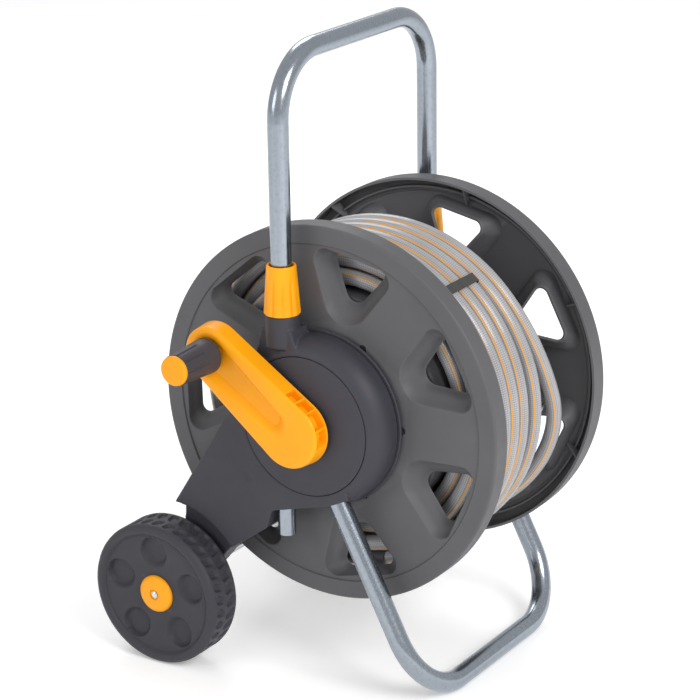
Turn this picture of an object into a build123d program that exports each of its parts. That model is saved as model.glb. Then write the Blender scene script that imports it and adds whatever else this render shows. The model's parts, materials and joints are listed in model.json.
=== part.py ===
from build123d import *
import math
import os

# Garden hose reel cart. Millimetres, +Z up, +Y towards the wheels, +X away from the crank.
# The origin is on the ground, below the middle of the cart's box. Places below are given from
# the reel axis, which runs along X, and at() moves them into the cart's own frame.
# Pieces that come in pairs are modelled on the left, the crank's side, and mirrored at the end.

os.makedirs("parts", exist_ok=True)

# ---- Driving dimensions ----------------------------------------------------------------------
flange_radius = 205.0
flange_face_x = 116.6          # outer face of each flange, from the middle of the reel
band_x = 118.3                 # raised band round the flange's edge
band_radius = 184.8            # inner edge of that band
rim_depth = 23.0
skin = 2.8                     # wall of the flange and drum mouldings
window_count = 7
window_angle = 50.3            # the first window, from +Y towards +Z
window_depth = 19.6            # how far each window's dish runs inwards
# A window's dish at the flange's face and at its opening inside: the distance of its tip and its
# side from the axis, half its width, and the radius at its tip and at its two corners.
window_mouth = (73.4, 180.0, 54.4, 27.0, 14.0)
window_opening = (112.4, 173.5, 35.4, 13.0, 8.0)
core_radius = 128.0            # drum that the hose is wound on
core_half = 93.8
screw_ring = 93.0              # pitch radius of the drum screws
screw_count = 6
screw_radius = 2.5

wheel_radius = 80.4
wheel_y = 175.4
wheel_z = -216.5
wheel_outer_x = 197.2
wheel_inner_x = 151.0
dimple_count = 5
dimple_angle = 16.7
axle_radius = 5.0
axle_half = 189.0

tube_radius = 11.0             # handle and foot tubes
tube_wall = 1.3
tube_x = 144.8                 # both U tubes have their legs this far out
tube_gap = 0.4                 # round the sliding handle tube
handle_y = 32.9
handle_top_z = 381.3
handle_low_z = -60.0
handle_bend = 66.0
end_tube_radius = 9.6          # swaged lower ends of the handle
end_tube_low_z = -130.3
end_tube_high_z = 10.0
foot_y = -137.0                # ground bar of the foot tube
foot_lean = 27.0               # degrees from upright
foot_leg = 262.0
foot_bend = 70.0

frame_back_x = 120.5           # side frame: back plate and lower arm
frame_plate = 3.0
frame_radius = 96.0
arm_face_x = 147.0
housing_x = 150.5              # outer end of the bearing housing
housing_radius = 26.0
bearing_radius = 21.0
cover_back_x = 124.0           # side cover
cover_face_x = 159.0
cover_wall = 3.0
skirt_radius = 93.0
cap_radius = 75.5              # opening that the hub cap fills
cap_dome = 5.4
arm_end_radius = 97.7          # the cover ends on an arc about the wheel axle
neck_radius = 17.9
neck_top_z = 114.0
thread_radius = 15.4
thread_top_z = 140.0
collet_radius = 13.2
collet_top_z = 161.0
collar_low_z = 114.6
collar_top_z = 167.0
collar_low_radius = 19.2
collar_top_radius = 15.3
collar_flutes = 10
shoulder = (132.0, 151.5, 87.6)         # hub housing: where its round shoulder starts, then a point on it
inner_shoulder = (131.0, 149.0, 84.8)
front_post = (71.0, -69.6)     # screw post that leaves a faint ring on the cover's face, as (y, z)
post_mark_depth = 0.8
post_ring = 82.0               # the other three screw posts
post_angles = (100.0, 150.0, 205.0)
screw_head_radius = 4.2        # all cover screws go in from the reel's side

journal_radius = 18.0          # shaft on the crank's side
square_drive = 22.0
crank_back_x = 169.0
crank_face_x = 191.0
crank_wall = 3.2
crank_reach = 119.7
crank_angle = 36.7             # from +Y towards +Z
crank_hub_radius = 37.5
crank_end_radius = 32.0
crank_screw_radius = 3.1
grip_base_x = 192.0
grip_end_x = 247.0
grip_cap_x = 252.0
grip_base_radius = 19.2
grip_end_radius = 16.4
pin_radius = 5.0
pin_head_x = 238.0
pin_head_radius = 8.0

water_radius = 14.0            # hollow shaft on the inlet's side
water_bore = 6.5
seal_x = 162.0
seal_width = 3.0
seal_depth = 2.0
inlet_x = 208.0                # tip of the inlet spigot
spigot_radius = 7.9
spigot_bore = 4.5

hose_radius = 8.4
coil_inner = 131.0
coil_outer = 184.5
coil_half = 84.0
elbow_x = 64.0
elbow_angle = 200.0            # where the hose leaves the drum, from +Y towards +Z
elbow_radius = 8.4
elbow_tail = 20.0
barb_length = 24.0
connector_x = -68.0
connector_angle = -95.0        # where the hose's outer end lies
connector_radius = 13.4
connector_pocket = (-36.0, 96.0)        # its pocket in the coil, along the way that the hose winds
strap_angle = 130.0
strap_thickness = 1.4
strap_half_width = 10.0

running = 0.05                 # radial clearance of a running fit
slip = 0.3                     # gap between pieces that pass each other

# The cart's box: from the crank's grip to the inlet spigot, and from the flanges to the wheels.
reel_x = (grip_cap_x - inlet_x) / 2
reel_y = (flange_radius - wheel_y - wheel_radius) / 2
reel_z = wheel_radius - wheel_z
foot_z = tube_radius - reel_z

crank_y = crank_reach * math.cos(math.radians(crank_angle))
crank_z = crank_reach * math.sin(math.radians(crank_angle))
foot_rise = (0, math.sin(math.radians(foot_lean)), math.cos(math.radians(foot_lean)))


# ---- Planes and profiles ------------------------------------------------------------------------
def at(x, y=0.0, z=0.0):
    """A point given from the reel axis, in the cart's frame."""
    return (reel_x + x, reel_y + y, reel_z + z)


def side_plane(x, y=0.0, z=0.0, turn=0.0):
    """A plane across the X axis, facing +X: its own x is +Y, turned towards +Z."""
    angle = math.radians(turn)
    return Plane(origin=at(x, y, z), x_dir=(0, math.cos(angle), math.sin(angle)), z_dir=(1, 0, 0))


def spoke_plane(angle, radius, x):
    """A plane on a spoke of the reel, facing outwards: its own x is +X."""
    turn = math.radians(angle)
    spoke = (0, math.cos(turn), math.sin(turn))
    return Plane(origin=at(x, radius * spoke[1], radius * spoke[2]), x_dir=(1, 0, 0), z_dir=spoke)


def hose_line(angle, radius, x):
    """A plane across the wound hose where it passes a spoke, facing the way that it winds."""
    spoke = spoke_plane(angle, radius, x)
    return Plane(origin=spoke.origin, x_dir=spoke.z_dir, z_dir=spoke.y_dir)


def turn_profile(points, y=0.0, z=0.0):
    """Turn a closed outline of (x, radius) points about a line along X."""
    half = Plane(origin=at(0, y, z), x_dir=(1, 0, 0), z_dir=(0, -1, 0))
    with BuildSketch(half, mode=Mode.PRIVATE) as profile:
        with BuildLine():
            Polyline(*points, close=True)
        make_face()
    revolve(profile.sketch, axis=Axis(at(0, y, z), (1, 0, 0)))


def turn_upright(points, x):
    """Turn a closed outline of (radius, z) points about a leg of the handle tube."""
    half = Plane(origin=at(x, handle_y, 0), x_dir=(1, 0, 0), z_dir=(0, -1, 0))
    with BuildSketch(half, mode=Mode.PRIVATE) as profile:
        with BuildLine():
            Polyline(*points, close=True)
        make_face()
    revolve(profile.sketch, axis=Axis(at(x, handle_y, 0), (0, 0, 1)))


mid_plane = Plane(origin=at(0), z_dir=(1, 0, 0))
handle_way = Plane(origin=at(-tube_x, handle_y, -160))
foot_way = Plane(origin=at(-tube_x, foot_y, foot_z), x_dir=(1, 0, 0), z_dir=foot_rise)


# ---- Reel flange ----------------------------------------------------------------------------------
def window_edge(tip, side, half_width, tip_round, corner_round, grow):
    """A window's outline, a rounded triangle that points at the hub."""
    with BuildSketch(Plane.XY, mode=Mode.PRIVATE) as outline:
        with BuildLine():
            Polyline((tip, 0), (side, -half_width), (side, half_width), close=True)
        make_face()
        fillet(outline.vertices().sort_by(Axis.X)[:1], tip_round)
        fillet(outline.vertices().sort_by(Axis.X)[-2:], corner_round)
        if grow:
            offset(amount=grow)
    return outline.sketch


def window_dish(grow, turn, mode):
    """The funnel of one window, from the flange's face to its smaller opening inside."""
    face_edge = side_plane(-flange_face_x, turn=turn) * window_edge(*window_mouth, grow)
    inner_plane = side_plane(-flange_face_x + window_depth, turn=turn)
    inner_edge = inner_plane * window_edge(*window_opening, grow)
    loft([face_edge.face(), inner_edge.face()], mode=mode)


window_turns = [window_angle + step * 360 / window_count for step in range(window_count)]
with BuildPart() as flange:
    turn_profile([
        (-flange_face_x, flange_radius),
        (-flange_face_x + rim_depth, flange_radius),
        (-flange_face_x + rim_depth, flange_radius - skin),
        (-flange_face_x + skin, flange_radius - skin),
        (-flange_face_x + skin, screw_ring + 5),
        (-core_half, screw_ring + 5),
        (-core_half, screw_ring - 5),
        (-flange_face_x + skin, screw_ring - 5),
        (-flange_face_x + skin, journal_radius),
        (-flange_face_x, journal_radius),
        (-flange_face_x, band_radius),
        (-band_x, band_radius),
        (-band_x, flange_radius - 1.7),
    ])
    for window_turn in window_turns:
        window_dish(skin, window_turn, Mode.ADD)
    for window_turn in window_turns:
        window_dish(0, window_turn, Mode.SUBTRACT)
    with BuildSketch(side_plane(-flange_face_x)):
        with PolarLocations(screw_ring, screw_count):
            Circle(4.7)
    extrude(amount=3, mode=Mode.SUBTRACT)
    with BuildSketch(side_plane(-flange_face_x)):
        with PolarLocations(screw_ring, screw_count):
            Circle(screw_radius)
    extrude(amount=rim_depth, mode=Mode.SUBTRACT)

# ---- Drum core: a closed barrel between the flanges --------------------------------------------------
with BuildPart() as drum_core:
    turn_profile([
        (-core_half, core_radius), (core_half, core_radius), (core_half, 24),
        (core_half - skin, 24), (core_half - skin, core_radius - skin),
        (-core_half + skin, core_radius - skin), (-core_half + skin, 24), (-core_half, 24),
    ])
    for end_x in (-core_half, core_half - skin):
        with BuildSketch(side_plane(end_x)):
            with PolarLocations(screw_ring, screw_count):
                Circle(screw_radius)
        extrude(amount=skin, mode=Mode.SUBTRACT)
    with BuildSketch(spoke_plane(elbow_angle, core_radius - 12, elbow_x)):
        Circle(elbow_radius + 1)
    extrude(amount=16, mode=Mode.SUBTRACT)
drum_core.part.label = "drum_core"
export_step(drum_core.part, "parts/drum_core.step")

with BuildPart() as drum_screws:
    for outwards in (-1, 1):
        for step in range(screw_count):
            turn = math.radians(360 / screw_count * step)
            face = outwards * flange_face_x
            tip = outwards * (core_half - 8)
            turn_profile([
                (face, 0), (face, 4.5), (face - outwards * 3, 4.5), (face - outwards * 3, screw_radius),
                (tip, screw_radius), (tip - outwards * 1.5, 0),
            ], screw_ring * math.cos(turn), screw_ring * math.sin(turn))
drum_screws.part.label = "drum_screws"
export_step(drum_screws.part, "parts/drum_screws.step")

# ---- Crank-side journal and the screw that holds the crank ---------------------------------------------
with BuildPart() as hub_journal:
    turn_profile([
        (-105, crank_screw_radius), (-105, 30), (-110, 48), (-flange_face_x + skin, 48),
        (-flange_face_x + skin, journal_radius), (-152, journal_radius), (-152, crank_screw_radius),
    ])
    with BuildSketch(side_plane(-152)):
        Rectangle(square_drive, square_drive)
        Circle(crank_screw_radius, mode=Mode.SUBTRACT)
    extrude(amount=-29)
hub_journal.part.label = "hub_journal"
export_step(hub_journal.part, "parts/hub_journal.step")

with BuildPart() as crank_screw:
    turn_profile([(-101, 0), (-101, 6), (-105, 6), (-105, crank_screw_radius),
                  (-187, crank_screw_radius), (-188, 0)])
crank_screw.part.label = "crank_screw"
export_step(crank_screw.part, "parts/crank_screw.step")

# ---- Water way: hollow shaft, seal, inlet housing and spigot --------------------------------------------
with BuildPart() as water_shaft:
    turn_profile([
        (74, water_bore), (74, water_radius), (110, water_radius), (110, 48),
        (flange_face_x - skin, 48), (flange_face_x - skin, journal_radius),
        (flange_face_x, journal_radius), (flange_face_x, water_radius), (seal_x, water_radius),
        (seal_x, water_radius - seal_depth), (seal_x + seal_width, water_radius - seal_depth),
        (seal_x + seal_width, water_radius), (169, water_radius), (169, water_bore),
    ])
water_shaft.part.label = "water_shaft"
export_step(water_shaft.part, "parts/water_shaft.step")

with BuildPart() as shaft_seal:
    turn_profile([
        (seal_x, water_radius - seal_depth), (seal_x + seal_width, water_radius - seal_depth),
        (seal_x + seal_width, water_radius), (seal_x, water_radius),
    ])
shaft_seal.part.label = "shaft_seal"
export_step(shaft_seal.part, "parts/shaft_seal.step")

housing_bore = water_radius + running
with BuildPart() as inlet_housing:
    turn_profile([
        (housing_x + 0.5, housing_bore), (housing_x + 0.5, 18.6), (182, 18.6), (184, 16),
        (184, spigot_radius), (174, spigot_radius), (174, water_bore), (170, water_bore),
        (170, housing_bore),
    ])
inlet_housing.part.label = "inlet_housing"
export_step(inlet_housing.part, "parts/inlet_housing.step")

with BuildPart() as inlet_spigot:
    turn_profile([
        (174, spigot_bore), (174, spigot_radius), (184, spigot_radius), (184, 11), (187, 11),
        (187, spigot_radius), (196, spigot_radius), (196.8, 6.4), (199.2, 6.4), (200, spigot_radius),
        (206, spigot_radius), (inlet_x, 6.6), (inlet_x, spigot_bore),
    ])
inlet_spigot.part.label = "inlet_spigot"
export_step(inlet_spigot.part, "parts/inlet_spigot.step")

# ---- Hose: elbow and clamp at the drum, the wound coil, its strap and the outer connector ---------------
hose_start_radius = coil_inner + hose_radius
elbow_line = hose_line(elbow_angle, hose_start_radius, elbow_x)
with BuildPart() as hose_elbow:
    with BuildSketch(side_plane(54)):
        Circle(12)
    extrude(amount=19.8)
    with BuildSketch(spoke_plane(elbow_angle, 0, elbow_x)):
        Circle(elbow_radius)
    extrude(amount=hose_start_radius + elbow_radius + 1)
    with BuildSketch(elbow_line):
        Circle(elbow_radius - 0.6)
    extrude(amount=elbow_tail)
    with BuildSketch(elbow_line.offset(elbow_tail)):
        Circle(6.2)
    extrude(amount=barb_length)
    with BuildSketch(elbow_line.offset(elbow_tail + barb_length)):
        Circle(spigot_bore)
    extrude(amount=-barb_length - elbow_tail, mode=Mode.SUBTRACT)
    with BuildSketch(spoke_plane(elbow_angle, 0, elbow_x)):
        Circle(spigot_bore + 0.5)
    extrude(amount=hose_start_radius + 4, mode=Mode.SUBTRACT)
    with BuildSketch(side_plane(elbow_x)):
        Circle(water_bore)
    extrude(amount=12, mode=Mode.SUBTRACT)
hose_elbow.part.label = "hose_elbow"
export_step(hose_elbow.part, "parts/hose_elbow.step")

with BuildPart() as hose_clamp:
    with BuildSketch(elbow_line.offset(elbow_tail + 8)):
        Circle(hose_radius + 1.6)
        Circle(hose_radius + 0.1, mode=Mode.SUBTRACT)
    extrude(amount=11)
    with BuildSketch(elbow_line.offset(elbow_tail + 9)):
        with Locations((hose_radius + 4.2, 0)):
            Rectangle(6, 12)
    extrude(amount=9)
hose_clamp.part.label = "hose_clamp"
export_step(hose_clamp.part, "parts/hose_clamp.step")

connector_height = coil_outer - 9.5
with BuildPart() as hose_coil:
    with BuildSketch(Plane(origin=at(0), x_dir=(1, 0, 0), z_dir=(0, -1, 0))):
        with Locations((0, (coil_inner + coil_outer) / 2)):
            RectangleRounded(2 * coil_half, coil_outer - coil_inner, 7)
    revolve(axis=Axis(at(0), (1, 0, 0)))
    with BuildSketch(spoke_plane(elbow_angle, coil_inner - 2, elbow_x)):
        with Locations((0, 18)):
            Rectangle(32, 76)
    extrude(amount=28, mode=Mode.SUBTRACT)
    # The pocket runs on to the coil's edge, so that a nozzle can be pushed in along its axis.
    with BuildSketch(spoke_plane(connector_angle, connector_height - 16, connector_x)):
        with Locations((0, sum(connector_pocket) / 2)):
            Rectangle(40, connector_pocket[1] - connector_pocket[0])
    extrude(amount=40, mode=Mode.SUBTRACT)
hose_coil.part.label = "hose_coil"
export_step(hose_coil.part, "parts/hose_coil.step")

connector_line = hose_line(connector_angle, connector_height, connector_x)
connector_inlet = -26.0
connector_outlet = 30.0
outlet_depth = 22.0
with BuildPart() as hose_connector:
    with BuildSketch(connector_line.offset(connector_inlet)):
        Circle(11.5)
    extrude(amount=18)
    with BuildSketch(connector_line.offset(-8)):
        Circle(connector_radius)
    extrude(amount=22)
    with BuildSketch(connector_line.offset(14)):
        Circle(11.0)
    extrude(amount=connector_outlet - 14)
    with BuildSketch(connector_line.offset(connector_outlet)):
        Circle(spigot_radius + 0.1)
    extrude(amount=-outlet_depth, mode=Mode.SUBTRACT)
    with BuildSketch(connector_line.offset(connector_outlet)):
        Circle(spigot_bore)
    extrude(amount=-40, mode=Mode.SUBTRACT)
    with BuildSketch(connector_line.offset(connector_inlet)):
        Circle(hose_radius + 0.1)
        Circle(6.0, mode=Mode.SUBTRACT)
    extrude(amount=14, mode=Mode.SUBTRACT)
hose_connector.part.label = "hose_connector"
export_step(hose_connector.part, "parts/hose_connector.step")

strap_turn = math.radians(strap_angle)
strap_plane = Plane(origin=at(0), x_dir=(1, 0, 0), z_dir=(0, math.sin(strap_turn), -math.cos(strap_turn)))
strap_width = 2 * coil_half + 2.6
strap_height = coil_outer - coil_inner + 2.6
with BuildPart() as hose_strap:
    with BuildSketch(strap_plane):
        with Locations((0, (coil_inner + coil_outer) / 2)):
            RectangleRounded(strap_width + strap_thickness, strap_height + strap_thickness, 6)
            RectangleRounded(strap_width - strap_thickness, strap_height - strap_thickness, 5,
                             mode=Mode.SUBTRACT)
    extrude(amount=strap_half_width, both=True)
hose_strap.part.label = "hose_strap"
export_step(hose_strap.part, "parts/hose_strap.step")


# ---- Crank: tapered arm, grip pin, turning grip and its end cap ------------------------------------------
def arm_outline(hub_radius, end_radius):
    """Two circles and the straight sides between them."""
    with BuildSketch(Plane.XY, mode=Mode.PRIVATE) as outline:
        Circle(hub_radius)
        with Locations((crank_reach, 0)):
            Circle(end_radius)
        make_hull()
    return outline.sketch


def arm_block(back_x, back_radii, face_x, face_radii, mode):
    """The tapered block between two outlines of the arm."""
    back = side_plane(-back_x, turn=crank_angle) * arm_outline(*back_radii)
    front = side_plane(-face_x, turn=crank_angle) * arm_outline(*face_radii)
    loft([back.face(), front.face()], mode=mode)


boss_low_x = 167.0
socket_x = 181.2
with BuildPart() as crank_arm:
    arm_block(crank_back_x, (crank_hub_radius, crank_end_radius),
              crank_face_x, (crank_hub_radius - 1.5, crank_end_radius - 4), Mode.ADD)
    inner_hub_radius = crank_hub_radius - crank_wall
    inner_end_radius = crank_end_radius - crank_wall
    arm_block(crank_back_x, (inner_hub_radius, inner_end_radius),
              crank_face_x - crank_wall, (inner_hub_radius - 1.3, inner_end_radius - 3.4), Mode.SUBTRACT)
    with BuildSketch(side_plane(-crank_face_x + 1)):
        Circle(21)
    extrude(amount=crank_face_x - 1 - boss_low_x)
    with BuildSketch(side_plane(-boss_low_x)):
        Rectangle(square_drive + 0.1, square_drive + 0.1)
    extrude(amount=boss_low_x - socket_x, mode=Mode.SUBTRACT)
    with BuildSketch(side_plane(-boss_low_x)):
        Circle(crank_screw_radius)
    extrude(amount=boss_low_x - 188.2, mode=Mode.SUBTRACT)
    with BuildSketch(side_plane(-crank_face_x + 1, crank_y, crank_z)):
        Circle(12)
    extrude(amount=crank_face_x - 1 - crank_back_x)
    with BuildSketch(side_plane(-crank_face_x - 1, crank_y, crank_z)):
        Circle(pin_radius)
    extrude(amount=crank_face_x + 1 - crank_back_x, mode=Mode.SUBTRACT)
    for rib_along in (34, 62, 90):
        with BuildSketch(side_plane(-crank_face_x + 2, turn=crank_angle)):
            with Locations((rib_along, 0)):
                Rectangle(2.2, 58 - rib_along * 0.08)
        extrude(amount=15)
crank_arm.part.label = "crank_arm"
export_step(crank_arm.part, "parts/crank_arm.step")

with BuildPart() as grip_pin:
    turn_profile([(-crank_back_x, 0), (-crank_back_x, pin_radius), (-pin_head_x - slip, pin_radius),
                  (-pin_head_x - slip, pin_head_radius), (-pin_head_x - 4, pin_head_radius),
                  (-pin_head_x - 4, 0)], crank_y, crank_z)
grip_pin.part.label = "grip_pin"
export_step(grip_pin.part, "parts/grip_pin.step")

with BuildPart() as crank_grip:
    turn_profile([(-grip_base_x, pin_radius + running), (-grip_base_x, grip_base_radius - 1),
                  (-grip_base_x - 1.5, grip_base_radius), (-grip_end_x, grip_end_radius),
                  (-grip_end_x, pin_head_radius + 1), (-pin_head_x, pin_head_radius + 1),
                  (-pin_head_x, pin_radius + running)], crank_y, crank_z)
crank_grip.part.label = "crank_grip"
export_step(crank_grip.part, "parts/crank_grip.step")

with BuildPart() as grip_cap:
    turn_profile([(-grip_end_x, 0), (-grip_end_x, grip_end_radius), (-grip_end_x - 3, grip_end_radius - 0.2),
                  (-grip_cap_x + 0.8, grip_end_radius - 2.4), (-grip_cap_x, grip_end_radius - 6),
                  (-grip_cap_x, 0)], crank_y, crank_z)
grip_cap.part.label = "grip_cap"
export_step(grip_cap.part, "parts/grip_cap.step")


# ---- Side cover: domed hub housing, arm towards the wheel and neck for the handle tube -------------------
def arm_end(angle):
    """A point on the arc about the wheel axle where the cover's arm ends."""
    turn = math.radians(angle)
    return (wheel_y + arm_end_radius * math.cos(turn), wheel_z + arm_end_radius * math.sin(turn))


def cover_arm(shrink):
    """The cover's arm from the hub to just above the wheel, seen along X."""
    with BuildSketch(Plane.XY, mode=Mode.PRIVATE) as arm:
        with BuildLine():
            Polyline((0, 0), (66.7, 42.8), arm_end(93))
            ThreePointArc(arm_end(93), arm_end(118), arm_end(143))
            Polyline(arm_end(143), (50, -124), (43, -103), (-30, -82.5), (-53.8, -71), (0, 0))
        make_face()
        if shrink:
            offset(amount=-shrink, kind=Kind.INTERSECTION)
    return arm.sketch


def dome(radius, bend, face_x, face_radius, mode):
    """The hub housing's block: a skirt, a rounded shoulder and a flat face."""
    shoulder_x, mid_x, mid_radius = bend
    half = Plane(origin=at(0), x_dir=(1, 0, 0), z_dir=(0, -1, 0))
    with BuildSketch(half, mode=Mode.PRIVATE) as profile:
        with BuildLine():
            Polyline((-face_x, face_radius), (-face_x, 0), (-cover_back_x, 0), (-cover_back_x, radius),
                     (-shoulder_x, radius))
            ThreePointArc((-shoulder_x, radius), (-mid_x, mid_radius), (-face_x, face_radius))
        make_face()
    revolve(profile.sketch, axis=Axis(at(0), (1, 0, 0)), mode=mode)


post_turns = [math.radians(angle) for angle in post_angles]
ring_posts = [(post_ring * math.cos(turn), post_ring * math.sin(turn)) for turn in post_turns]
post_radius = 6.0
with BuildPart() as side_cover:
    dome(skirt_radius, shoulder, cover_face_x, cap_radius + 1, Mode.ADD)
    extrude(side_plane(-cover_back_x) * cover_arm(0), amount=cover_back_x - cover_face_x)
    with BuildSketch(side_plane(-cover_back_x - 2)):
        with BuildLine():
            Polyline((handle_y - neck_radius, 100), (handle_y - neck_radius - 5, 84),
                     (handle_y - neck_radius - 16, 60), (handle_y + neck_radius + 16, 56),
                     (handle_y + neck_radius + 5, 80), (handle_y + neck_radius, 100), close=True)
        make_face()
    extrude(amount=cover_back_x + 4 - cover_face_x)
    with BuildSketch(Plane(origin=at(-tube_x, handle_y, 80))):
        Circle(neck_radius)
    extrude(amount=neck_top_z - 80)
    with BuildSketch(Plane(origin=at(-tube_x, handle_y, neck_top_z))):
        Circle(thread_radius)
    extrude(amount=thread_top_z - neck_top_z)
    # Hollow inside, open towards the reel and at the hub cap.
    dome(skirt_radius - cover_wall, inner_shoulder, cover_face_x - cover_wall, 74, Mode.SUBTRACT)
    extrude(side_plane(-cover_back_x) * cover_arm(cover_wall),
            amount=cover_back_x + cover_wall - cover_face_x, mode=Mode.SUBTRACT)
    with BuildSketch(side_plane(-cover_back_x)):
        Circle(cap_radius)
    extrude(amount=cover_back_x - cover_face_x - 1, mode=Mode.SUBTRACT)
    # Screw posts.
    with BuildSketch(side_plane(-cover_back_x)):
        with Locations(front_post):
            Circle(post_radius)
    extrude(amount=cover_back_x - cover_face_x)
    with BuildSketch(side_plane(-cover_back_x)):
        with Locations(*ring_posts):
            Circle(post_radius - 1)
    extrude(amount=-27)
    with BuildSketch(side_plane(-cover_back_x)):
        with Locations(front_post, *ring_posts):
            Circle(screw_radius)
    extrude(amount=-25, mode=Mode.SUBTRACT)
    with BuildSketch(side_plane(-cover_face_x)):
        with Locations(front_post):
            Circle(post_radius - 1)
    extrude(amount=post_mark_depth, mode=Mode.SUBTRACT)
    # Ways for the handle tube and the foot tube.
    with BuildSketch(handle_way):
        Circle(tube_radius + tube_gap)
    extrude(amount=320, mode=Mode.SUBTRACT)
    with BuildSketch(foot_way):
        Circle(tube_radius + slip)
    extrude(amount=foot_leg + 2, mode=Mode.SUBTRACT)

with BuildPart() as hub_cap:
    turn_profile([
        (-cover_face_x + 2.6, cap_radius - slip), (-cover_face_x, cap_radius - slip),
        (-cover_face_x - 2.6, 60), (-cover_face_x - 4.6, 40), (-cover_face_x - cap_dome, 24), (-cover_face_x - cap_dome, 19),
        (-cover_face_x - cap_dome + cover_wall, 19), (-cover_face_x - 2.0, 38), (-cover_face_x + 0.6, 64),
        (-cover_face_x + 2.6, 72),
    ])

with BuildPart() as cover_screws:
    for outwards in (-1, 1):
        for post_place in (front_post, *ring_posts):
            turn_profile([
                (outwards * frame_back_x, 0), (outwards * frame_back_x, screw_head_radius),
                (outwards * (frame_back_x + 2), screw_radius),
                (outwards * (cover_back_x + 24), screw_radius), (outwards * (cover_back_x + 24), 0),
            ], *post_place)
cover_screws.part.label = "cover_screws"
export_step(cover_screws.part, "parts/cover_screws.step")


# ---- Side frame: back plate, bearing housing, tube sockets and the arm down to the axle ------------------
def countersink(y, z):
    """A countersunk hole in the back plate for a screw put in from the reel's side."""
    with BuildSketch(side_plane(-frame_back_x, y, z), mode=Mode.PRIVATE) as mouth:
        Circle(screw_head_radius)
    with BuildSketch(side_plane(-frame_back_x - 2, y, z), mode=Mode.PRIVATE) as throat:
        Circle(screw_radius)
    loft([mouth.sketch.face(), throat.sketch.face()], mode=Mode.SUBTRACT)
    extrude(throat.sketch, amount=-2, mode=Mode.SUBTRACT)


def lower_arm(shrink):
    """The lower arm's outline, seen along X: it ends just under the cover's end."""
    with BuildSketch(Plane.XY, mode=Mode.PRIVATE) as arm:
        with BuildLine():
            Polyline((110, -112), (150, -112), (164.8, -125), (167.5, -160), (195, -212), (196, -222),
                     (186, -236), (166, -236), (104, -160), (98, -150), close=True)
        make_face()
        with Locations((wheel_y, wheel_z)):
            Circle(arm_end_radius - 0.7, mode=Mode.INTERSECT)
        if shrink:
            offset(amount=-shrink, kind=Kind.INTERSECTION)
    return arm.sketch


guide_width = 25.0
guide_x = tube_x - 11.5
guide_spans = ((0.0, 66.0), (-88.0, -46.0))
foot_screw_along = foot_leg - 19.0
foot_screw_y = foot_y + foot_screw_along * foot_rise[1]
foot_screw_z = foot_z + foot_screw_along * foot_rise[2]
foot_screw_radius = 2.0
with BuildPart() as side_frame:
    with BuildSketch(side_plane(-frame_back_x)):
        Circle(frame_radius)
    extrude(amount=-frame_plate)
    with BuildSketch(side_plane(-frame_back_x)):
        with BuildLine():
            Polyline((0, 0), (60, 34), (164, -124))
            ThreePointArc((164, -124), (136, -134), (101, -151))
            Polyline((101, -151), (56, -116), (46, -97), (-30, -77), (-46, -68), (0, 0))
        make_face()
    extrude(amount=-frame_plate)
    with BuildSketch(side_plane(-frame_back_x)):
        Circle(housing_radius)
    extrude(amount=frame_back_x - housing_x)
    # Guides for the handle tube and a socket for the foot tube.
    for guide_low, guide_high in guide_spans:
        with BuildSketch(Plane(origin=at(-guide_x, handle_y, guide_low))):
            Rectangle(guide_width, 29)
        extrude(amount=guide_high - guide_low)
    with BuildSketch(foot_way.offset(foot_leg - 26)):
        with Locations((tube_x - guide_x, 0)):
            Rectangle(guide_width, 27)
    extrude(amount=22)
    # Lower arm, a box section under the cover's end, and its axle boss.
    extrude(side_plane(-frame_back_x) * lower_arm(0), amount=frame_back_x - arm_face_x)
    extrude(side_plane(-frame_back_x) * lower_arm(cover_wall),
            amount=frame_back_x - arm_face_x + cover_wall, mode=Mode.SUBTRACT)
    with BuildSketch(side_plane(-frame_back_x, wheel_y, wheel_z)):
        Circle(16)
    extrude(amount=frame_back_x - arm_face_x - 2)
    with BuildSketch(side_plane(-frame_back_x, wheel_y, wheel_z)):
        Circle(axle_radius)
    extrude(amount=-40, mode=Mode.SUBTRACT)
    # Tube ways, bearing bore and screw holes.
    with BuildSketch(handle_way):
        Circle(tube_radius + tube_gap)
    extrude(amount=320, mode=Mode.SUBTRACT)
    with BuildSketch(foot_way):
        Circle(tube_radius)
    extrude(amount=foot_leg, mode=Mode.SUBTRACT)
    with BuildSketch(side_plane(-frame_back_x)):
        Circle(bearing_radius)
    extrude(amount=frame_back_x - housing_x, mode=Mode.SUBTRACT)
    for post_place in (front_post, *ring_posts):
        countersink(*post_place)
    with BuildSketch(side_plane(-frame_back_x, foot_screw_y, foot_screw_z)):
        Circle(foot_screw_radius)
    extrude(amount=-20, mode=Mode.SUBTRACT)

# ---- Bearing bushes --------------------------------------------------------------------------------------
for side_name, outwards, shaft_radius in (("left", -1, journal_radius), ("right", 1, water_radius)):
    with BuildPart() as bearing:
        turn_profile([
            (outwards * frame_back_x, shaft_radius + running), (outwards * frame_back_x, bearing_radius),
            (outwards * housing_x, bearing_radius), (outwards * housing_x, shaft_radius + running),
        ])
    bearing.part.label = f"{side_name}_bearing"
    export_step(bearing.part, f"parts/{side_name}_bearing.step")

# ---- Tubes -----------------------------------------------------------------------------------------------
with BuildPart() as handle_tube:
    with BuildLine() as handle_path:
        FilletPolyline(at(-tube_x, handle_y, handle_low_z), at(-tube_x, handle_y, handle_top_z),
                       at(tube_x, handle_y, handle_top_z), at(tube_x, handle_y, handle_low_z),
                       radius=handle_bend)
    with BuildSketch(Plane(origin=handle_path.line @ 0, z_dir=handle_path.line % 0)):
        Circle(tube_radius)
        Circle(tube_radius - tube_wall, mode=Mode.SUBTRACT)
    sweep(path=handle_path.line)
handle_tube.part.label = "handle_tube"
export_step(handle_tube.part, "parts/handle_tube.step")

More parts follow.
